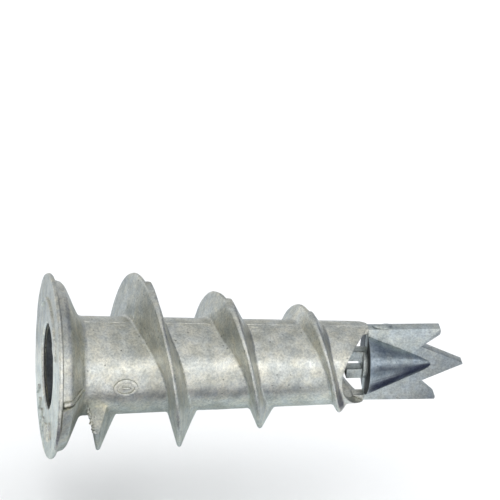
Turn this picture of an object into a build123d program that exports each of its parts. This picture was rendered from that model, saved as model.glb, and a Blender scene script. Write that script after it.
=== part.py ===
from build123d import *
import math
import os

# Self-drilling anchor for plasterboard walls: one zinc die casting with a flanged head, a hollow
# tapered barrel, a coarse right-hand thread and a spade-shaped drill tip on two thin legs.
# Each working region of the casting is a closed solid of its own, and neighbours meet face to face.
#
# Frame: the origin is the middle of the head's front face, +X runs into the wall along the axis,
# +Z is up. The drill blade lies in the XZ plane, where the two die halves part.
# Angles around the axis are in degrees from +Z towards -Y, the way the thread climbs.

# ---- driving dimensions, mm ----
anchor_length = 31.75

head_radius = 7.0
disc_thickness = 0.36
collar_radius = 6.48
collar_shoulder = (1.02, 6.33)
collar_break = (1.30, 5.93)
collar_end = 2.32

mouth_radius = 3.25
bore_taper = 0.0262
barrel_radius_at_head = 3.77
barrel_taper = 0.0310

nib_reach = 0.34
nib_rise = 0.20
nib_sweep = 38.0

rib_tip_radius = 2.09
rib_root_radius = 3.7
rib_half_angle = 24.0
rib_start = 0.7
rib_turn = 5.0

ring_start = 19.6
ring_length = 1.6
ring_radius = 1.95

thread_start_angle = 117.0
thread_start_place = 3.22
thread_end_angle = 1252.0
advance_per_degree = 0.0155
parting_steps = (0.06, 0.56, 0.06, 0.54, 0.26, 0.26)
crest_line = (
    (3.2, 6.28), (6.6, 6.96), (7.7, 7.06), (10.05, 6.17), (12.85, 5.48), (13.9, 5.5), (16.25, 4.88),
    (19.3, 4.42), (22.35, 3.75), (23.2, 3.5),
)
crest_half_width = 0.13
section_spacing = 15.0

break_place = 24.25
window_tip = 22.05
window_radius = 3.2

blade_thickness = 0.95
blade_half_width = 3.0
upper_prong = (29.8, 0.45)
lower_prong = (29.75, 0.30)
notch_place = 28.4
notch_offset = 1.5

cone_radius = 2.5
cone_apex = 30.4

bar_start = 22.8
bar_thickness = 1.0
bar_width = 0.75
bar_offset = 0.725
pad_start = 23.95
pad_radius = 1.2

mark_place = 5.5
mark_length = 1.85
mark_width = 1.5
mark_line = 0.28
mark_height = 0.13


def bore_radius(place):
    """Radius of the tapered bore at a distance from the head's front face."""
    return mouth_radius - bore_taper * place


def barrel_radius(place):
    """Outer radius of the tapered barrel."""
    return barrel_radius_at_head - barrel_taper * (place - collar_end)


def turned(points):
    """Solid of revolution about the anchor's axis, from an outline of (place, radius) points."""
    return revolve(make_face(Polyline(*points, close=True)), axis=Axis.X)


def bore_core(start, end):
    """The space inside the bore between two places."""
    return turned([(start, 0), (start, bore_radius(start)), (end, bore_radius(end)), (end, 0)])


def block(x_range, y_range, z_range):
    """A box between two corners."""
    spans = (x_range, y_range, z_range)
    middle = [(low + high) / 2 for low, high in spans]
    size = [high - low for low, high in spans]
    return Pos(*middle) * Box(*size)


def plain_collar():
    """The countersunk underside of the head, without its bore."""
    return turned([
        (disc_thickness, 0), (disc_thickness, collar_radius), collar_shoulder, collar_break,
        (collar_end, barrel_radius_at_head), (collar_end, 0),
    ])


def plain_barrel():
    """The tapered barrel, without its bore."""
    return turned([
        (collar_end, 0), (collar_end, barrel_radius(collar_end)),
        (break_place, barrel_radius(break_place)), (break_place, 0),
    ])


# ---- head: a thin disc, a countersunk collar and two holding nibs ----
def head_disc():
    edge = 0.06
    return turned([
        (0, bore_radius(0)), (0, head_radius - edge), (edge, head_radius),
        (disc_thickness - edge, head_radius), (disc_thickness, head_radius - edge),
        (disc_thickness, bore_radius(disc_thickness)),
    ])


def head_collar():
    return plain_collar() - bore_core(disc_thickness, collar_end)


def nib_section(angle, lift):
    """Cross-section of a nib, raised over the countersink by a share of its full height."""
    outline = (
        (disc_thickness, 5.5),
        (disc_thickness, collar_radius + lift * (head_radius + nib_reach - collar_radius)),
        (collar_shoulder[0] + lift * nib_rise, collar_shoulder[1] + lift * nib_rise),
        (collar_end + lift * nib_rise * 0.6, barrel_radius_at_head + lift * nib_rise * 0.4),
        (collar_end - 0.1, 3.4),
    )
    turn = math.radians(angle)
    points = [(x, -r * math.sin(turn), r * math.cos(turn)) for x, r in outline]
    return make_face(Polyline(*points, close=True))


def countersink_nib(side):
    """Ratchet tooth under the head: square at one edge, running out into the countersink."""
    square_edge = 90.0 if side == "front" else 270.0
    steps = 4
    sections = [
        nib_section(square_edge + nib_sweep * step / steps, 1.0 - 0.97 * step / steps)
        for step in range(steps + 1)
    ]
    return loft(sections) - (plain_collar() + plain_barrel())


# ---- hollow barrel, open at the tip end through two facing windows ----
def window_cutter():
    """Round-nosed pocket straight through the barrel from front to back."""
    post = Cylinder(window_radius, 12.0)
    return Pos(window_tip + window_radius, 0, 0) * Rot(X=90) * post


def barrel_tube():
    return plain_barrel() - bore_core(collar_end, break_place)


def barrel():
    return barrel_tube() - window_cutter()


def break_leg(side):
    """Thin strip of barrel wall, as thick as the blade, that carries the tip past the window."""
    half = blade_thickness / 2
    z_range = (2.0, 4.0) if side == "upper" else (-4.0, -2.0)
    strip = block((window_tip, break_place), (-half, half), z_range)
    return barrel_tube() & window_cutter() & strip


# ---- inside the bore: four driving ribs and the ring that the screw thread bites ----
def drive_rib(angle):
    """Three-cornered rib along the bore, with its lead-in sloped for the driver."""
    spread = (rib_root_radius - rib_tip_radius) * math.tan(math.radians(rib_half_angle))
    tip_half = 0.12
    section = make_face(Polyline(
        (-tip_half, rib_tip_radius), (tip_half, rib_tip_radius),
        (spread, rib_root_radius), (-spread, rib_root_radius), close=True,
    ))
    prism = extrude(Plane.YZ.offset(rib_start) * section, amount=ring_start - rib_start)
    lead = turned([
        (rib_start, 0), (rib_start, mouth_radius), (rib_start + 1.2, rib_tip_radius),
        (rib_start + 1.2, 0),
    ])
    return Rot(X=angle) * ((prism & bore_core(rib_start, ring_start)) - lead)


def pilot_ring():
    end = ring_start + ring_length
    lead = 0.25
    return turned([
        (ring_start, bore_radius(ring_start)), (ring_start, ring_radius + lead),
        (ring_start + lead, ring_radius), (end, ring_radius), (end, bore_radius(end)),
    ])


# ---- thread: half turns, front and rear, that meet at the parting lines ----
def parting_catch_up(angle, steps_passed, power):
    """How much of the last parting step is still to be made up, fading over a quarter turn."""
    past_parting = angle - 180 * steps_passed
    if steps_passed == 0 or past_parting >= 90:
        return 0.0
    return parting_steps[steps_passed - 1] * math.cos(math.radians(past_parting)) ** power


def crest_place(angle, steps_passed):
    """Place of the crest along the axis, which catches up the dies' step after a parting line."""
    run = (angle - thread_start_angle) * advance_per_degree
    place = thread_start_place + run + sum(parting_steps[:steps_passed])
    return place - parting_catch_up(angle, steps_passed, 2)


def crest_radius(place):
    """Crest radius, in straight stretches between the points of the crest line."""
    for (x0, r0), (x1, r1) in zip(crest_line, crest_line[1:]):
        if place <= x1:
            return r0 + (r1 - r0) * (place - x0) / (x1 - x0)
    return crest_line[-1][1]


def flight_section(angle, steps_passed):
    """The flight's cross-section: steep to the head, and leanest midway between parting lines."""
    sunk = 0.25
    place = crest_place(angle, steps_passed)
    crest_lip = crest_half_width + 0.55 * parting_catch_up(angle, steps_passed, 6)
    height = crest_radius(place) - barrel_radius(place)
    squareness = min(1.0, 0.45 + (angle - thread_start_angle) / 160)
    midway = abs(math.sin(math.radians(angle)))
    tip_relief = max(0.2, min(0.7, 1.2 - 0.32 * height))
    head_flank = (0.62 - 0.125 * height) * squareness * (1 - 0.65 * midway ** 4)
    tip_flank = (0.88 - 0.155 * height) * (1 - tip_relief * midway ** 2)
    root = barrel_radius(place) - sunk
    corners = (
        (place - crest_half_width - (height + sunk) * head_flank, root),
        (place - crest_half_width, crest_radius(place)),
        (place + crest_lip, crest_radius(place)),
        (place + crest_lip + (height + sunk) * tip_flank, root),
    )
    turn = math.radians(angle)
    points = [(x, -r * math.sin(turn), r * math.cos(turn)) for x, r in corners]
    return make_face(Polyline(*points, close=True))


def thread_stretch(start, end, steps_passed):
    """One stretch of the flight between two angles, standing on the barrel."""
    count = math.ceil((end - start) / section_spacing)
    angles = [start + (end - start) * step / count for step in range(count + 1)]
    flight = loft([flight_section(angle, steps_passed) for angle in angles])
    return flight - (plain_barrel() + plain_collar())


def thread_pieces():
    """Name and shape of every stretch, cut where the die halves part."""
    start = thread_start_angle
    turn = 0
    while start < thread_end_angle:
        end = min((start // 180 + 1) * 180, thread_end_angle)
        side = "front" if (start // 180) % 2 == 0 else "rear"
        steps_passed = int(start // 180)
        yield f"thread_{side}_{turn // 2}", thread_stretch(start, end, steps_passed)
        start = end
        turn += 1


# ---- drill tip: spade blade, spreading cone and the stub that the screw pushes ----
def drill_blade():
    """Flat spade with two outer prongs, slightly uneven as cast, and a longer point between them."""
    outline = [(anchor_length, 0)]
    for sign, (place, land) in ((1, upper_prong), (-1, lower_prong)):
        edge = [
            (notch_place, sign * notch_offset), (place, sign * (blade_half_width - land)),
            (place, sign * blade_half_width), (break_place, sign * blade_half_width),
        ]
        outline += edge if sign > 0 else reversed(edge)
    blank = make_face(Polyline(*outline, close=True))
    return extrude(Plane.XZ * blank, amount=blade_thickness / 2, both=True)


def tip_cone():
    """Two half cones, one on each face of the blade."""
    cone = turned([(break_place, 0), (break_place, cone_radius), (cone_apex, 0)])
    half = blade_thickness / 2
    slab = block((break_place - 1, cone_apex + 1), (-half, half), (-4, 4))
    return cone - slab


def thrust_stub():
    length = pad_start - bar_start
    bar = Box(length, bar_thickness, bar_width)
    pad = turned([(pad_start, 0), (pad_start, pad_radius), (break_place, pad_radius), (break_place, 0)])
    upper_bar = Pos(bar_start + length / 2, 0, bar_offset) * bar
    lower_bar = Pos(bar_start + length / 2, 0, -bar_offset) * bar
    return pad + upper_bar + lower_bar


# ---- raised oval frame on the front of the barrel ----
def cavity_mark():
    outer = Ellipse(mark_length / 2, mark_width / 2)
    inner = Ellipse(mark_length / 2 - mark_line, mark_width / 2 - mark_line)
    frame = extrude(Plane.XZ * Pos(mark_place, 0, 0) * (outer - inner), amount=6.0)
    ends = (mark_place - mark_length, mark_place + mark_length)
    skin = turned([
        (ends[0], 0), (ends[0], barrel_radius(ends[0]) + mark_height),
        (ends[1], barrel_radius(ends[1]) + mark_height), (ends[1], 0),
    ])
    return (frame & skin) - plain_barrel()


def all_parts():
    yield "head_disc", head_disc()
    yield "head_collar", head_collar()
    for side in ("front", "rear"):
        yield f"countersink_nib_{side}", countersink_nib(side)
    yield "barrel", barrel()
    for side in ("upper", "lower"):
        yield f"{side}_leg", break_leg(side)
    for number in range(4):
        yield f"drive_rib_{number + 1}", drive_rib(90 * number + rib_turn)
    yield "pilot_ring", pilot_ring()
    yield from thread_pieces()
    yield "drill_blade", drill_blade()
    yield "tip_cone", tip_cone()
    yield "thrust_stub", thrust_stub()
    yield "cavity_mark", cavity_mark()


os.makedirs("parts", exist_ok=True)
for name, shape in all_parts():
    export_step(shape, f"parts/{name}.step")
    print("wrote", name)
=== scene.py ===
import math

import bmesh
import bpy
from mathutils import Matrix, Vector, noise


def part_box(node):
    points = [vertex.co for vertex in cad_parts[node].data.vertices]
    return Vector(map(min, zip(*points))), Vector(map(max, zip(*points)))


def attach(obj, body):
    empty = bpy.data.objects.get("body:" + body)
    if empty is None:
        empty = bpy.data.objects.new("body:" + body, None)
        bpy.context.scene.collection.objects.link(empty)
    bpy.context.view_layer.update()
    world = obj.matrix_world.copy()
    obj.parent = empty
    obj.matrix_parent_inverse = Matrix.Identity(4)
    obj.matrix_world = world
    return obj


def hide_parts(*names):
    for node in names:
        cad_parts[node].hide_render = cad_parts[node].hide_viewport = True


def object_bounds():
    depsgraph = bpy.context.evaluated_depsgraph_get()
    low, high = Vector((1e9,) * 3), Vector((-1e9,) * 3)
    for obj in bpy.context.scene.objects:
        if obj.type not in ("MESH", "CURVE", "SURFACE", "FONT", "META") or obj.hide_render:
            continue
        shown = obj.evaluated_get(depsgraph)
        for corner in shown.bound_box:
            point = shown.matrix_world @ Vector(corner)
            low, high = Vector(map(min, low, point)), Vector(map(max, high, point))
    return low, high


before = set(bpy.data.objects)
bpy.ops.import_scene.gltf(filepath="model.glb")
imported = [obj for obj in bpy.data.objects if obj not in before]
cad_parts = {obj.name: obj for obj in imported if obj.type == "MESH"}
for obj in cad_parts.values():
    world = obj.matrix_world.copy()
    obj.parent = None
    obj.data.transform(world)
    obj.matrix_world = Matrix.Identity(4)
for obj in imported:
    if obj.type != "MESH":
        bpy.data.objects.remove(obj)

CAD_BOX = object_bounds()
MM = 0.001

# ---- Camera ----
# A long lens looks at the anchor from the front, a little from the head's side and from above,
# rolled so that the axis runs almost level across the lower half of the view.
view_turn = math.radians(-10.0)
view_rise = math.radians(27.2)
view_roll = math.radians(4.0)
view_distance = 600 * MM
view_width = 37.76 * MM
low_in_view = 8.56 * MM
anchor_middle = Vector((15.9, 0, 0)) * MM
back = Vector((math.sin(view_turn) * math.cos(view_rise),
               -math.cos(view_turn) * math.cos(view_rise), math.sin(view_rise)))
level_side = Vector((math.cos(view_turn), math.sin(view_turn), 0))
level_up = back.cross(level_side)
side = level_side * math.cos(view_roll) + level_up * math.sin(view_roll)
up = level_up * math.cos(view_roll) - level_side * math.sin(view_roll)
aim = anchor_middle - side * 0.45 * MM + up * low_in_view

camera_data = bpy.data.cameras.new("camera")
camera_data.sensor_width = 36.0
camera_data.lens = 36.0 * view_distance / view_width
camera_data.clip_start = 0.01
camera = bpy.data.objects.new("camera", camera_data)
bpy.context.scene.collection.objects.link(camera)
turn = Matrix((side, up, back)).transposed().to_4x4()
camera.matrix_world = Matrix.Translation(aim + back * view_distance) @ turn
bpy.context.scene.camera = camera


# ---- Head disc ----
# The thin disc that ends flush with the wall. It is the first region of the one zinc die casting,
# and its edge is rounded where the die halves leave it; the bore's mouth opens in its middle.
disc_low, disc_high = (Vector(c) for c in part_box("head_disc"))
disc_edge = 0.15 * MM
mouth_radius = 3.25 * MM
bore_taper = 0.0262


def cast_zinc(name, dark, light, rough):
    """Raw die-cast zinc: mottled tone, fine speckle, small pits and an uneven satin skin."""
    material = bpy.data.materials.new(name)
    material.use_nodes = True
    nodes = material.node_tree.nodes
    links = material.node_tree.links
    shader = nodes["Principled BSDF"]
    shader.inputs["Metallic"].default_value = 1.0
    place = nodes.new("ShaderNodeTexCoord")
    to_mm = nodes.new("ShaderNodeMapping")
    to_mm.inputs["Scale"].default_value = (1000, 1000, 1000)
    links.new(place.outputs["Object"], to_mm.inputs["Vector"])

    def cloud(scale, detail, roughness):
        node = nodes.new("ShaderNodeTexNoise")
        node.inputs["Scale"].default_value = scale
        node.inputs["Detail"].default_value = detail
        node.inputs["Roughness"].default_value = roughness
        links.new(to_mm.outputs["Vector"], node.inputs["Vector"])
        return node.outputs["Fac"]

    def ramp(source, stops):
        node = nodes.new("ShaderNodeValToRGB")
        elements = node.color_ramp.elements
        elements[0].position, elements[0].color = stops[0]
        elements[1].position, elements[1].color = stops[1]
        for position, colour in stops[2:]:
            elements.new(position).color = colour
        links.new(source, node.inputs["Fac"])
        return node.outputs["Color"]

    def mixed(blend, amount, first, second):
        node = nodes.new("ShaderNodeMix")
        node.data_type = "RGBA"
        node.blend_type = blend
        node.inputs["Factor"].default_value = amount
        links.new(first, node.inputs["A"])
        links.new(second, node.inputs["B"])
        return node.outputs["Result"]

    patches = ramp(cloud(0.9, 3.0, 0.6), [(0.36, (*dark, 1)), (0.64, (*light, 1))])
    tint = ramp(cloud(1.1, 3.0, 0.6), [(0.36, (0.96, 0.985, 1.03, 1)), (0.62, (1.02, 1.0, 0.965, 1))])
    speckle = ramp(cloud(6.0, 3.0, 0.75), [(0.36, (0.72, 0.73, 0.745, 1)), (0.60, (1.05, 1.05, 1.04, 1))])
    mottled = mixed("MULTIPLY", 1.0, mixed("MULTIPLY", 1.0, patches, tint), speckle)
    pits = nodes.new("ShaderNodeTexVoronoi")
    pits.inputs["Scale"].default_value = 1.3
    pits.inputs["Randomness"].default_value = 1.0
    links.new(to_mm.outputs["Vector"], pits.inputs["Vector"])
    pit_floor = ramp(pits.outputs["Distance"], [(0.05, (0.0, 0.0, 0.0, 1)), (0.12, (1, 1, 1, 1))])
    # The pits are also painted dark in the colour, as painted shade inside them.
    mottled_with_pit_shade = mixed("MULTIPLY", 0.5, mottled, pit_floor)
    links.new(mottled_with_pit_shade, shader.inputs["Base Color"])

    sheen = nodes.new("ShaderNodeMapRange")
    sheen.inputs["To Min"].default_value = rough - 0.12
    sheen.inputs["To Max"].default_value = rough + 0.16
    links.new(cloud(3.1, 4.0, 0.7), sheen.inputs["Value"])
    links.new(sheen.outputs["Result"], shader.inputs["Roughness"])

    skin = nodes.new("ShaderNodeBump")
    skin.inputs["Strength"].default_value = 0.7
    skin.inputs["Distance"].default_value = 0.03 * MM
    links.new(cloud(5.0, 4.0, 0.62), skin.inputs["Height"])
    holes = nodes.new("ShaderNodeBump")
    holes.inputs["Strength"].default_value = 0.5
    holes.inputs["Distance"].default_value = 0.03 * MM
    links.new(pit_floor, holes.inputs["Height"])
    links.new(skin.outputs["Normal"], holes.inputs["Normal"])
    links.new(holes.outputs["Normal"], shader.inputs["Normal"])
    return material


barrel_skin = cast_zinc("barrel_zinc_skin", (0.575, 0.58, 0.530), (0.81, 0.80, 0.725), 0.40)
# A dark copy of the zinc: painted shade for the bore's wall, the pilot ring and the cone's flat base.
bore_painted_shade_skin = cast_zinc("bore_zinc_painted_shade", (0.12, 0.13, 0.14), (0.25, 0.26, 0.27), 0.52)


def ring_outline(points):
    """A mesh holding a closed outline of (place, radius) points, ready to spin."""
    bm = bmesh.new()
    verts = [bm.verts.new((place, 0, radius)) for place, radius in points]
    for first, second in zip(verts, verts[1:] + verts[:1]):
        bm.edges.new((first, second))
    return bm


def spin_round(bm, steps):
    """Turns the outline once round the anchor's axis into a closed ring."""
    bmesh.ops.spin(bm, geom=bm.verts[:] + bm.edges[:], cent=(0, 0, 0), axis=(1, 0, 0),
                   angle=math.tau, steps=steps, use_merge=True)
    bmesh.ops.recalc_face_normals(bm, faces=bm.faces)


def round_edges(bm, width, segments=3, sharper_than=35.0):
    """Bevels every edge that turns by more than an angle, as the cast corners are rounded."""
    limit = math.radians(sharper_than)
    edges = [e for e in bm.edges if len(e.link_faces) == 2 and e.calc_face_angle() > limit]
    bmesh.ops.bevel(bm, geom=edges, offset=width, offset_type="OFFSET", segments=segments,
                    profile=0.5, affect="EDGES", material=-1, clamp_overlap=True)


def is_in_bore(face):
    """True for a face on the wall of the bore, which faces the axis, short of the windows."""
    out = Vector((0, face.center.y, face.center.z))
    near_axis = out.length < mouth_radius and face.center.x < 19 * MM
    return near_axis and face.normal.dot(out) < -0.6 * out.length


def cast_piece(name, bm, body, finish, stands_for=()):
    """Makes a mesh into a named piece of the casting that rides on a body."""
    for face in bm.faces:
        face.smooth = True
    mesh = bpy.data.meshes.new(name)
    bm.to_mesh(mesh)
    bm.free()
    mesh.set_sharp_from_angle(angle=math.radians(38))
    mesh.materials.append(finish)
    piece = bpy.data.objects.new(name, mesh)
    bpy.context.scene.collection.objects.link(piece)
    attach(piece, body)
    # Faces on the bore's wall, but not the ribs, get the dark skin as painted shade inside the bore.
    inward = [f for f in mesh.polygons if is_in_bore(f)]
    if inward and finish is barrel_skin and not name.startswith("bore_rib"):
        mesh.materials.append(bore_painted_shade_skin)
        for face in inward:
            face.material_index = 1
    if stands_for:
        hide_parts(*stands_for)
    return piece


def uneven(piece, size, height):
    """Lets the cast surface wander a little, over a given distance."""
    clouds = bpy.data.textures.new(piece.name + "_wander", "CLOUDS")
    clouds.noise_scale = size
    clouds.noise_depth = 2
    wander = piece.modifiers.new("wander", "DISPLACE")
    wander.texture = clouds
    wander.texture_coords = "LOCAL"
    wander.strength = height
    wander.mid_level = 0.5


face_rings = 16
disc_points = [(disc_low.x, mouth_radius + (disc_high.z - mouth_radius) * n / face_rings)
               for n in range(face_rings + 1)]
disc_points += [(disc_high.x, disc_high.z), (disc_high.x, mouth_radius - bore_taper * disc_high.x)]
bm = ring_outline(disc_points)
spin_round(bm, 144)
round_edges(bm, disc_edge)
disc = cast_piece("head_flange", bm, "anchor_shell", barrel_skin, ("head_disc",))
uneven(disc, 1.6 * MM, 0.05 * MM)


# ---- Head marks ----
# Plain raised marks cast on the head's face: an arc that ends in an arrow for the way to turn, and
# a row of short bars below the bore.
mark_rise = 0.17 * MM
mark_sunk = 0.05 * MM
arc_radius = 5.05 * MM
arc_start, arc_end = math.radians(-52), math.radians(44)
arc_half_width = 0.15 * MM
arrow_half_width = 0.75 * MM
arrow_length = 0.26
bar_width, bar_length = 0.30 * MM, 1.3 * MM
bar_gap = math.radians(14.0)


def at_clock(radius, angle, place=0.0):
    """A point on the head's face, at an angle from the top towards the front."""
    return Vector((place, -radius * math.sin(angle), radius * math.cos(angle)))


def soften_mark(bm):
    """Rounds the mark's outer edges and keeps its foot square."""
    tops = [e for e in bm.edges if len(e.link_faces) == 2 and e.calc_face_angle() > math.radians(40)
            and max(v.co.x for v in e.verts) < mark_sunk / 2]
    bmesh.ops.bevel(bm, geom=tops, offset=0.045 * MM, offset_type="OFFSET", segments=2, profile=0.5,
                    affect="EDGES", material=-1, clamp_overlap=True)


arc_inner, arc_outer = arc_radius - arc_half_width, arc_radius + arc_half_width
bm = ring_outline([(-mark_rise, arc_inner), (-mark_rise, arc_outer), (mark_sunk, arc_outer),
                   (mark_sunk, arc_inner)])
bmesh.ops.rotate(bm, verts=bm.verts, matrix=Matrix.Rotation(arc_start, 3, "X"))
bmesh.ops.spin(bm, geom=bm.verts[:] + bm.edges[:], cent=(0, 0, 0), axis=(1, 0, 0),
               angle=arc_end - arc_start, steps=40, use_merge=False)
bmesh.ops.holes_fill(bm, edges=[e for e in bm.edges if e.is_boundary], sides=0)
bmesh.ops.recalc_face_normals(bm, faces=bm.faces)
soften_mark(bm)
cast_piece("turn_mark_arc", bm, "anchor_shell", barrel_skin)

bm = bmesh.new()
corners = [(arc_radius - arrow_half_width, arc_end - 0.02), (arc_radius + arrow_half_width, arc_end - 0.02),
           (arc_radius, arc_end + arrow_length)]
foot = bm.faces.new([bm.verts.new(at_clock(radius, angle, mark_sunk)) for radius, angle in corners])
top = bmesh.ops.extrude_face_region(bm, geom=[foot])["geom"]
bmesh.ops.translate(bm, verts=[v for v in top if isinstance(v, bmesh.types.BMVert)],
                    vec=(-mark_rise - mark_sunk, 0, 0))
bmesh.ops.recalc_face_normals(bm, faces=bm.faces)
soften_mark(bm)
cast_piece("turn_mark_arrow", bm, "anchor_shell", barrel_skin)

bm = bmesh.new()
for place in range(7):
    angle = math.pi + (place - 3) * bar_gap
    bar = bmesh.ops.create_cube(bm, size=1.0)["verts"]
    bmesh.ops.scale(bm, verts=bar, vec=(mark_rise + mark_sunk, bar_width, bar_length))
    bmesh.ops.translate(bm, verts=bar, vec=((mark_sunk - mark_rise) / 2, 0, arc_radius))
    bmesh.ops.rotate(bm, verts=bar, matrix=Matrix.Rotation(angle, 3, "X"))
soften_mark(bm)
cast_piece("turn_mark_bars", bm, "anchor_shell", barrel_skin)


# ---- Head collar ----
# The countersunk underside of the head, cast in one with the disc. Its shoulder is soft, and a
# small fillet runs it into the barrel.
collar_low, collar_high = (Vector(c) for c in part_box("head_collar"))
barrel_low, barrel_high = (Vector(c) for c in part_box("barrel"))
barrel_taper = 0.0310
barrel_start = barrel_low.x
barrel_start_radius = barrel_high.z
collar_fillet = 0.30 * MM


def bore_radius(place):
    return mouth_radius - bore_taper * place


collar_back = collar_high.x + collar_fillet
collar_points = [
    (collar_low.x, bore_radius(collar_low.x)), (collar_low.x, 6.64 * MM), (0.43 * MM, 6.53 * MM),
    (0.72 * MM, 6.44 * MM), (1.00 * MM, 6.35 * MM), (1.18 * MM, 6.17 * MM), (1.32 * MM, 5.91 * MM),
    (1.60 * MM, 5.29 * MM), (1.90 * MM, 4.62 * MM), (2.14 * MM, 4.12 * MM),
    (2.27 * MM, 3.92 * MM), (2.42 * MM, 3.81 * MM), (collar_back, 3.76 * MM), (collar_back, 3.60 * MM),
    (collar_high.x, bore_radius(collar_high.x)),
]
bm = ring_outline(collar_points)
spin_round(bm, 144)
collar = cast_piece("head_collar_cast", bm, "anchor_shell", barrel_skin, ("head_collar",))
uneven(collar, 1.2 * MM, 0.03 * MM)


# ---- Countersink nibs ----
# Two ratchet teeth cast under the head that bite the board and stop the anchor from backing out.
def softened(node, width, segments=3, sharper_than=25.0):
    """A clean copy of a CAD solid with its edges rounded as cast."""
    bm = bmesh.new()
    bm.from_mesh(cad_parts[node].data)
    bmesh.ops.remove_doubles(bm, verts=bm.verts, dist=0.001 * MM)
    bmesh.ops.dissolve_limit(bm, angle_limit=math.radians(1.5), verts=bm.verts, edges=bm.edges)
    round_edges(bm, width, segments, sharper_than)
    return bm


def collar_radius(place):
    """The collar's outer radius, in straight stretches between its outline points."""
    outline = collar_points[1:-2]
    for (x0, r0), (x1, r1) in zip(outline, outline[1:]):
        if x0 < place <= x1:
            return r0 + (r1 - r0) * (place - x0) / (x1 - x0)
    return outline[0][1] if place < MM else outline[-1][1]


for side_name in ("front", "rear"):
    node = f"countersink_nib_{side_name}"
    cast_piece(f"nib_{side_name}", softened(node, 0.05 * MM), "anchor_shell", barrel_skin, (node,))
    bm = bmesh.new()
    bmesh.ops.create_cone(bm, cap_ends=True, segments=16, radius1=0.20 * MM, radius2=0.15 * MM,
                          depth=1.7 * MM)
    round_edges(bm, 0.08 * MM, 3)
    along = [e for e in bm.edges if abs(e.verts[0].co.z - e.verts[1].co.z) > MM]
    bmesh.ops.subdivide_edges(bm, edges=along, cuts=24)
    bmesh.ops.rotate(bm, verts=bm.verts, matrix=Matrix.Rotation(math.pi / 2, 3, "Y"))
    bmesh.ops.translate(bm, verts=bm.verts, vec=(1.30 * MM, 0, 0))
    for vert in bm.verts:
        vert.co.z += collar_radius(vert.co.x) + 0.12 * MM
    quarter = math.radians(88.0 if side_name == "front" else 268.0)
    bmesh.ops.rotate(bm, verts=bm.verts, matrix=Matrix.Rotation(quarter, 3, "X"))
    uneven(cast_piece(f"nib_ridge_{side_name}", bm, "anchor_shell", barrel_skin), 0.4 * MM, 0.05 * MM)


# ---- Barrel ----
# The hollow tapered barrel, cast round a ribbed core. The front and rear die halves each leave one
# slightly flat side, and the tip end is open through a round-nosed window on both faces.
window_nose = 22.05 * MM
window_radius = 3.2 * MM
barrel_end = barrel_high.x
flat_spread = math.radians(48.0)
flat_share = 0.45
wall_rows = 90
wall_steps = 160


def barrel_radius(place, angle):
    """Outer radius, with the flat side just below each half's upper parting line."""
    radius = barrel_start_radius - barrel_taper * (place - barrel_start)
    past_parting = angle % math.pi
    if past_parting > flat_spread:
        return radius
    half = flat_spread / 2
    chord = math.cos(half) / math.cos(past_parting - half)
    return radius * (1 - flat_share * (1 - chord))


def window_edge(height):
    """Where the barrel ends along the axis, at a height above or below the middle."""
    if abs(height) >= window_radius:
        return barrel_end
    reach = window_nose + window_radius - math.sqrt(window_radius ** 2 - height ** 2)
    return min(reach, barrel_end)


# The wall is spun as a plain double tube, outer skin at 2 and inner at 1, then drawn to its radii.
tube_places = [barrel_start + (barrel_end - barrel_start) * n / wall_rows for n in range(wall_rows + 1)]
outer_rows = [(place, 2.0) for place in tube_places]
inner_rows = [(place, 1.0) for place in reversed(tube_places)]
bm = ring_outline(outer_rows + inner_rows)
spin_round(bm, wall_steps)
for vert in bm.verts:
    angle = math.atan2(-vert.co.y, vert.co.z)
    outside = math.hypot(vert.co.y, vert.co.z) > 1.5
    share = (vert.co.x - barrel_start) / (barrel_end - barrel_start)
    place = vert.co.x
    for _ in range(3):
        radius = barrel_radius(place, angle) if outside else bore_radius(place)
        place = barrel_start + share * (window_edge(radius * math.cos(angle)) - barrel_start)
    vert.co = (place, -radius * math.sin(angle), radius * math.cos(angle))
round_edges(bm, 0.05 * MM, 2, 50.0)
barrel = cast_piece("barrel_cast", bm, "anchor_shell", barrel_skin, ("barrel",))
uneven(barrel, 1.4 * MM, 0.03 * MM)


# ---- Parting lines ----
# A thin, slightly wavy bead of zinc stands along the barrel, above and below, where the die halves
# met and a little metal crept between them.
bead_radius = 0.07 * MM
for name, angle in (("parting_bead_upper", 0.0), ("parting_bead_lower", math.pi)):
    bm = bmesh.new()
    bmesh.ops.create_cone(bm, cap_ends=True, segments=10, radius1=bead_radius, radius2=bead_radius,
                          depth=barrel_end - barrel_start)
    along = [e for e in bm.edges if abs(e.verts[0].co.z - e.verts[1].co.z) > MM]
    bmesh.ops.subdivide_edges(bm, edges=along, cuts=120)
    bmesh.ops.rotate(bm, verts=bm.verts, matrix=Matrix.Rotation(math.pi / 2, 3, "Y"))
    bmesh.ops.translate(bm, verts=bm.verts, vec=((barrel_start + barrel_end) / 2, 0, 0))
    for vert in bm.verts:
        wobble = noise.noise(vert.co / (0.9 * MM)) * 0.03 * MM
        vert.co.z += barrel_radius(vert.co.x, angle) - 0.045 * MM + wobble
    bmesh.ops.rotate(bm, verts=bm.verts, matrix=Matrix.Rotation(angle, 3, "X"))
    cast_piece(name, bm, "anchor_shell", barrel_skin)


# ---- Cavity mark ----
# A small raised oval on the front of the barrel, left by a plain insert in the die, with one
# short plain bar in its middle.
cast_piece("cavity_oval", softened("cavity_mark", 0.035 * MM, 2), "anchor_shell", barrel_skin,
           ("cavity_mark",))
oval_low, oval_high = (Vector(c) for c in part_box("cavity_mark"))
oval_middle = (oval_low.x + oval_high.x) / 2
bm = bmesh.new()
bmesh.ops.create_icosphere(bm, subdivisions=4, radius=1.0)
bmesh.ops.scale(bm, verts=bm.verts, vec=(0.40 * MM, 0.10 * MM, 0.13 * MM))
bmesh.ops.translate(bm, verts=bm.verts, vec=(oval_middle, -barrel_radius(oval_middle, math.pi / 2), 0))
cast_piece("cavity_oval_bar", bm, "anchor_shell", barrel_skin)
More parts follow.
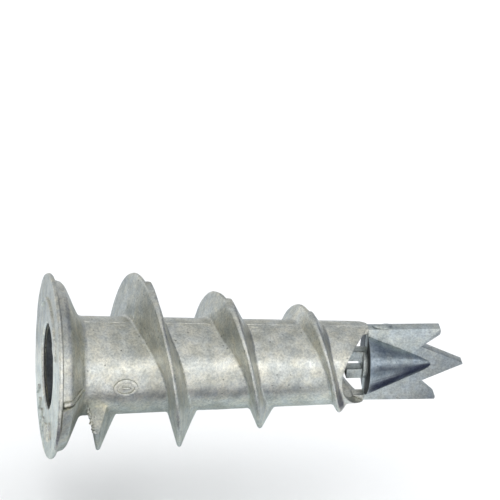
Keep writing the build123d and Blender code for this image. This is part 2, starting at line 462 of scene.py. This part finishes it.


# ---- Bore ribs and pilot ring ----
# Four three-cornered ribs run down the bore for the driver, and a ring at the deep end takes the
# screw's thread. The ring, like the bore's wall, is painted dark as painted shade deep in the bore.
for number in range(1, 5):
    node = f"drive_rib_{number}"
    cast_piece(f"bore_rib_{number}", softened(node, 0.05 * MM, 2), "anchor_shell", barrel_skin, (node,))
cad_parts["pilot_ring"].material_slots[0].material = bore_painted_shade_skin


# ---- Thread ----
# The coarse flight that pulls the anchor into the board. Each die half forms half a turn at a time,
# so the stretches step along the axis where they meet at the upper parting line.
thread_start = math.radians(117.0)
thread_start_place = 3.22 * MM
thread_end = math.radians(1252.0)
advance = 0.0155 * MM / math.radians(1.0)
parting_steps = (0.06 * MM, 0.56 * MM, 0.06 * MM, 0.54 * MM, 0.26 * MM, 0.26 * MM)
crest_points = ((3.2, 6.28), (6.6, 6.96), (7.7, 7.06), (10.05, 6.17), (12.85, 5.48), (13.9, 5.5),
                (16.25, 4.88), (19.3, 4.42), (22.35, 3.75), (23.4, 3.45))
crest_round = 0.16 * MM
crest_half = 0.13 * MM
root_fillet = 0.14 * MM
root_sunk = 0.12 * MM
rim_bump = 0.22
rim_wander = 0.035 * MM
lip_share = 0.55
start_width = 0.45
degrees_to_full_width = 160
head_lean, head_lean_per_mm, head_midway = 0.62, 0.125, 0.65
tip_lean, tip_lean_per_mm = 0.88, 0.155
flight_levels = (0.0, 0.012, 0.03, 0.055, 0.085, 0.13, 0.2, 0.3, 0.42, 0.54, 0.66, 0.78, 0.87, 0.925,
                 0.96, 0.985)


def crest_radius(place):
    """Crest radius, in straight stretches between the crest points."""
    place_mm = place / MM
    for (x0, r0), (x1, r1) in zip(crest_points, crest_points[1:]):
        if place_mm <= x1:
            return (r0 + (r1 - r0) * (place_mm - x0) / (x1 - x0)) * MM
    return crest_points[-1][1] * MM


def flight_half_width(level, height, flank):
    """Half the flight's width at a share of its height: crest round, flank and root fillet."""
    above = level * height
    width = (height - above) * flank
    into_crest = above - (height - crest_round)
    cap = math.sqrt(max(0.0, 1 - (into_crest / crest_round) ** 2)) if into_crest > 0 else 1.0
    into_fillet = max(0.0, 1 - above / root_fillet)
    return width + crest_half * cap + root_fillet * into_fillet ** 2


def thread_stretch(start, end, offset, step, parting):
    """One stretch of the flight, spun as a plain section and then drawn out to its helix."""
    levels = [-0.1, *flight_levels]
    section = [(-1.0, 2.0 + level) for level in levels] + [(0.0, 3.0)]
    section += [(1.0, 2.0 + level) for level in reversed(levels)]
    bm = ring_outline(section)
    bmesh.ops.rotate(bm, verts=bm.verts, matrix=Matrix.Rotation(start, 3, "X"))
    steps = math.ceil((end - start) / math.radians(2.0))
    bmesh.ops.spin(bm, geom=bm.verts[:] + bm.edges[:], cent=(0, 0, 0), axis=(1, 0, 0),
                   angle=end - start, steps=steps, use_merge=False)
    for vert in bm.verts:
        around = math.atan2(-vert.co.y, vert.co.z)
        angle = start + (around - start + 0.01) % math.tau - 0.01
        level = math.hypot(vert.co.y, vert.co.z) - 2.0
        still_near = math.cos(min(max(angle - parting, 0.0), math.pi / 2))
        catch_up = step * still_near ** 2
        crest = thread_start_place + (angle - thread_start) * advance + offset - catch_up
        wander = rim_wander * noise.noise(Vector((angle * 3.0, 0, 0)))
        rim = crest_radius(crest) + rim_bump * step * still_near ** 10 + wander
        height = rim - barrel_radius(crest, angle)
        height_mm = height / MM
        square = min(1.0, start_width + math.degrees(angle - thread_start) / degrees_to_full_width)
        midway = abs(math.sin(angle))
        relief = max(0.2, min(0.7, 1.2 - 0.32 * height_mm))
        head_flank = (head_lean - head_lean_per_mm * height_mm) * square * (1 - head_midway * midway ** 4)
        tip_flank = (tip_lean - tip_lean_per_mm * height_mm) * (1 - relief * midway ** 2)
        half = flight_half_width(max(level, 0.0), height, head_flank if vert.co.x < 0 else tip_flank)
        lip = lip_share * step * still_near ** 6
        place = crest + (half + lip) * (vert.co.x > 0) - half * (vert.co.x < 0) + lip / 2 * (vert.co.x == 0)
        radius = barrel_radius(place, angle) + (level * height if level >= 0 else -root_sunk)
        vert.co = (place, -radius * math.sin(angle), radius * math.cos(angle))
    bmesh.ops.holes_fill(bm, edges=[e for e in bm.edges if e.is_boundary], sides=0)
    bmesh.ops.recalc_face_normals(bm, faces=bm.faces)
    return bm


start = thread_start
offset = 0.0
for number, node in enumerate(("front_0", "rear_0", "front_1", "rear_1", "front_2", "rear_2", "front_3")):
    half_turns = math.floor(start / math.pi + 0.001)
    end = min((half_turns + 1) * math.pi, thread_end)
    step = parting_steps[number - 1] if number else 0.0
    bm = thread_stretch(start, end, offset, step, half_turns * math.pi)
    cast_piece(f"flight_{node}", bm, "anchor_shell", barrel_skin, (f"thread_{node}",))
    if number < len(parting_steps):
        offset += parting_steps[number]
    start = end


# ---- Burrs and chips ----
# Small rough lumps of zinc stay where the flight starts and where the flash broke off along the
# upper parting line.
def lump(bm, size, middle, number):
    """A pebble-shaped bit of zinc, stretched and roughened."""
    verts = bmesh.ops.create_icosphere(bm, subdivisions=3, radius=1.0)["verts"]
    for vert in verts:
        vert.co *= 1.0 + 0.35 * noise.noise(vert.co * 1.7 + Vector((number * 7.3, 0, 0)))
    bmesh.ops.scale(bm, verts=verts, vec=size)
    bmesh.ops.translate(bm, verts=verts, vec=middle)


bm = bmesh.new()
for number in range(9):
    radius = (3.95 + 0.27 * number) * MM
    size = (0.10 + 0.04 * (number % 3)) * MM
    across = (0.45 - 0.036 * number + 0.06 * (number % 2)) * MM
    spot = at_clock(radius, thread_start - 0.01, thread_start_place - across)
    lump(bm, (size, size, 0.13 * MM), spot, number)
cast_piece("start_burrs", bm, "anchor_shell", barrel_skin)

# Each chip's place along the barrel in mm, its angle from the top, and its half length in mm.
chips = ((9.9, 3.0, 0.24), (10.3, 5.5, 0.12), (15.55, 5.0, 0.30), (14.75, 2.0, 0.18), (4.6, 2.0, 0.14),
         (12.1, 1.5, 0.16), (18.1, 3.0, 0.15), (21.9, 2.0, 0.20), (5.5, -2.0, 0.2))
bm = bmesh.new()
for number, (place, angle, length) in enumerate(chips):
    turned = math.radians(angle)
    spot = at_clock(barrel_radius(place * MM, turned) - 0.02 * MM, turned, place * MM)
    lump(bm, (length * MM, 0.08 * MM, 0.06 * MM), spot, number + 20)
cast_piece("parting_chips", bm, "anchor_shell", barrel_skin)


# ---- Legs ----
# Two strips of barrel wall, as thick as the blade, that carry the drill tip past the windows. The
# upper one snaps and the lower one bends when the screw arrives.
for side_name in ("upper", "lower"):
    node = f"{side_name}_leg"
    cast_piece(f"{side_name}_leg_cast", softened(node, 0.03 * MM, 2), "anchor_shell", barrel_skin, (node,))


# ---- Drill blade ----
# A flat spade with two prongs and a longer middle point, cast in one with the legs. Its faces
# get a colder, darker copy of the zinc, a painted reflection of the bluish low front light, and
# its edges are rounded from the die.
blade_painted_reflection_skin = cast_zinc("blade_zinc_painted_reflection", (0.515, 0.555, 0.55), (0.70, 0.735, 0.715), 0.46)
prongs_from = 28.0 * MM
point_round = 0.11 * MM
bm = bmesh.new()
bm.from_mesh(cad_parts["drill_blade"].data)
bmesh.ops.remove_doubles(bm, verts=bm.verts, dist=0.001 * MM)
bmesh.ops.dissolve_limit(bm, angle_limit=math.radians(1.5), verts=bm.verts, edges=bm.edges)
points = [e for e in bm.edges if abs(e.verts[0].co.y - e.verts[1].co.y) > 0.5 * MM
          and e.verts[0].co.x > prongs_from and e.is_convex and e.calc_face_angle() > math.radians(30)]
bmesh.ops.bevel(bm, geom=points, offset=point_round, offset_type="OFFSET", segments=4, profile=0.5,
                affect="EDGES", material=-1, clamp_overlap=True)
round_edges(bm, 0.06 * MM, 3, 40.0)
cast_piece("spade_blade", bm, "drill_tip", blade_painted_reflection_skin, ("drill_blade",))

bm = bmesh.new()
blade_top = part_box("drill_blade")[1][2]
lump(bm, (0.75 * MM, 0.36 * MM, 0.15 * MM), (25.4 * MM, 0, blade_top + 0.03 * MM), 3)
cast_piece("blade_shoulder_bump", bm, "drill_tip", blade_painted_reflection_skin)


# ---- Spreading cone ----
# Half a cone stands on each face of the blade, cast with it, and opens the hole behind the point.
# Its skin is smoother than the barrel's and is painted darker and bluer, a painted reflection of the dark
# surroundings; its flat base gets the bore's painted shade.
# A darker, bluer copy of the zinc: painted reflection of the dark surroundings.
cone_dark_reflection_skin = cast_zinc("cone_zinc_painted_dark_reflection", (0.27, 0.315, 0.35), (0.44, 0.495, 0.53), 0.31)
cone = cast_piece("spreading_cone", softened("tip_cone", 0.05 * MM, 2, 40.0), "drill_tip", cone_dark_reflection_skin,
                  ("tip_cone",))
# The flat base facing the head gets the dark skin, painted shade where it faces into the bore.
cone.data.materials.append(bore_painted_shade_skin)
for face in cone.data.polygons:
    face.material_index = int(face.normal.x < -0.6)


# ---- Thrust stub ----
# The short stub and pad on the cone's base, cast with the blade. The screw's point pushes them to
# break the upper leg and open the tip.
cast_piece("screw_stub", softened("thrust_stub", 0.04 * MM, 2), "drill_tip", blade_painted_reflection_skin, ("thrust_stub",))


# ---- Floor and light ----
# A plain pale floor just below the reach of the swung tip, and soft boxes round the anchor. The
# boxes are weak, so that the bare zinc mirrors them as broad pale bands.
blade_low, blade_high = (Vector(c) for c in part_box("drill_blade"))
floor_top = blade_low.z - (blade_high.x - blade_low.x) - 0.9 * MM
floor_mesh = bpy.data.meshes.new("floor")
bm = bmesh.new()
bmesh.ops.create_grid(bm, x_segments=1, y_segments=1, size=1.5)
bmesh.ops.translate(bm, verts=bm.verts, vec=(0, 0, floor_top))
bm.to_mesh(floor_mesh)
bm.free()
paper = bpy.data.materials.new("floor_paper")
paper.use_nodes = True
paper_nodes, paper_links = paper.node_tree.nodes, paper.node_tree.links
paper_place = paper_nodes.new("ShaderNodeTexCoord")
paper_grain = paper_nodes.new("ShaderNodeTexNoise")
paper_grain.inputs["Scale"].default_value = 900.0
paper_shades = paper_nodes.new("ShaderNodeValToRGB")
paper_shades.color_ramp.elements[0].color = (0.845, 0.845, 0.845, 1)
paper_shades.color_ramp.elements[1].color = (0.86, 0.86, 0.86, 1)
paper_links.new(paper_place.outputs["Object"], paper_grain.inputs["Vector"])
paper_links.new(paper_grain.outputs["Fac"], paper_shades.inputs["Fac"])
paper_links.new(paper_shades.outputs["Color"], paper_nodes["Principled BSDF"].inputs["Base Color"])
paper_nodes["Principled BSDF"].inputs["Roughness"].default_value = 0.9
floor_mesh.materials.append(paper)
floor = bpy.data.objects.new("floor", floor_mesh)
bpy.context.scene.collection.objects.link(floor)


def softbox(name, place, size, power):
    """A soft rectangular light aimed at the middle of the anchor."""
    data = bpy.data.lights.new(name, "AREA")
    data.shape = "RECTANGLE"
    data.size, data.size_y = size
    data.energy = power
    lamp = bpy.data.objects.new(name, data)
    bpy.context.scene.collection.objects.link(lamp)
    lamp.location = place
    lamp.rotation_euler = (anchor_middle - Vector(place)).to_track_quat("-Z", "Y").to_euler()
    return lamp


softbox("front_box", (0.05, -0.5, 0.21), (0.6, 0.16), 0.66)
softbox("sky_box", (0.05, -0.15, 0.6), (0.6, 0.5), 0.30)
softbox("left_box", (-0.5, -0.25, 0.15), (0.3, 0.3), 0.15)
softbox("back_box", (-0.42, 0.42, 0.06), (0.4, 0.3), 0.18)
softbox("right_box", (0.50, -0.36, 0.17), (0.3, 0.1), 0.24)

# The key light falls on the floor alone, so that the metal mirrors only the soft boxes.
key_box = softbox("key_box", (0.05, 0.05, 0.6), (1.4, 1.4), 6.0)
key_box.visible_glossy = False


# ---- Cards ----
# Dark and grey cards low in front, behind and to the right of the anchor. Only the metal's
# reflections show them, as the dark bands low on the barrel and on the cone.
card_level = CAD_BOX[0][2] + 0.4 * MM
for name, shade, middle, spread, upright, facing in (
        ("front_card", 0.05, (-0.058, -0.0091, 0), (0.080, 0.0030), False, 0),
        ("cone_card", 0.01, (0.0360, 0.0020, 0), (0.0100, 0.0070), False, 0),
        ("corner_card", 0.01, (0.0440, -0.0084, 0), (0.0120, 0.0036), False, 0),
        ("far_card", 0.01, (0.0570, -0.0230, 0), (0.0200, 0.0115), False, 0),
        ("horizon_card", 0.01, (0.1000, -0.0600, 0.004), (0.0055, 0.0550), True, -38),
        ("blade_card", 0.60, (0.0290, -0.0200, 0), (0.0070, 0.0080), False, 0),
        ("under_card", 0.80, (0.0055, 0.0040, 0), (0.0185, 0.0095), False, 0),
        ("rear_card", 0.42, (0.010, 0.045, 0), (0.050, 0.030), False, 0),
        ("side_card", 0.16, (0.35, 0.16, 0.24), (0.25, 0.27), True, 0)):
    card_mesh = bpy.data.meshes.new(name)
    bm = bmesh.new()
    bmesh.ops.create_grid(bm, x_segments=1, y_segments=1, size=1.0)
    bmesh.ops.scale(bm, verts=bm.verts, vec=(*spread, 1))
    if upright:
        bmesh.ops.rotate(bm, verts=bm.verts, matrix=Matrix.Rotation(math.pi / 2, 3, "Y"))
    bmesh.ops.rotate(bm, verts=bm.verts, matrix=Matrix.Rotation(math.radians(facing), 3, "Z"))
    bmesh.ops.translate(bm, verts=bm.verts, vec=Vector(middle) + Vector((0, 0, card_level)))
    bm.to_mesh(card_mesh)
    bm.free()
    paint = bpy.data.materials.new(name + "_paint")
    paint.use_nodes = True
    card_shader = paint.node_tree.nodes["Principled BSDF"]
    card_shader.inputs["Base Color"].default_value = (shade, shade * 1.1, shade * 1.1 + 0.045, 1)
    card_shader.inputs["Roughness"].default_value = 0.9
    card_mesh.materials.append(paint)
    card = bpy.data.objects.new(name, card_mesh)
    bpy.context.scene.collection.objects.link(card)
    card.visible_camera = False
    card.visible_diffuse = False
    card.visible_shadow = False


# A pale room fills in whatever else the metal mirrors.
world = bpy.data.worlds.new("studio")
bpy.context.scene.world = world
world.use_nodes = True
world.node_tree.nodes["Background"].inputs["Color"].default_value = (0.94, 0.97, 1.0, 1)
world.node_tree.nodes["Background"].inputs["Strength"].default_value = 0.60
bpy.context.scene.view_settings.view_transform = "Standard"
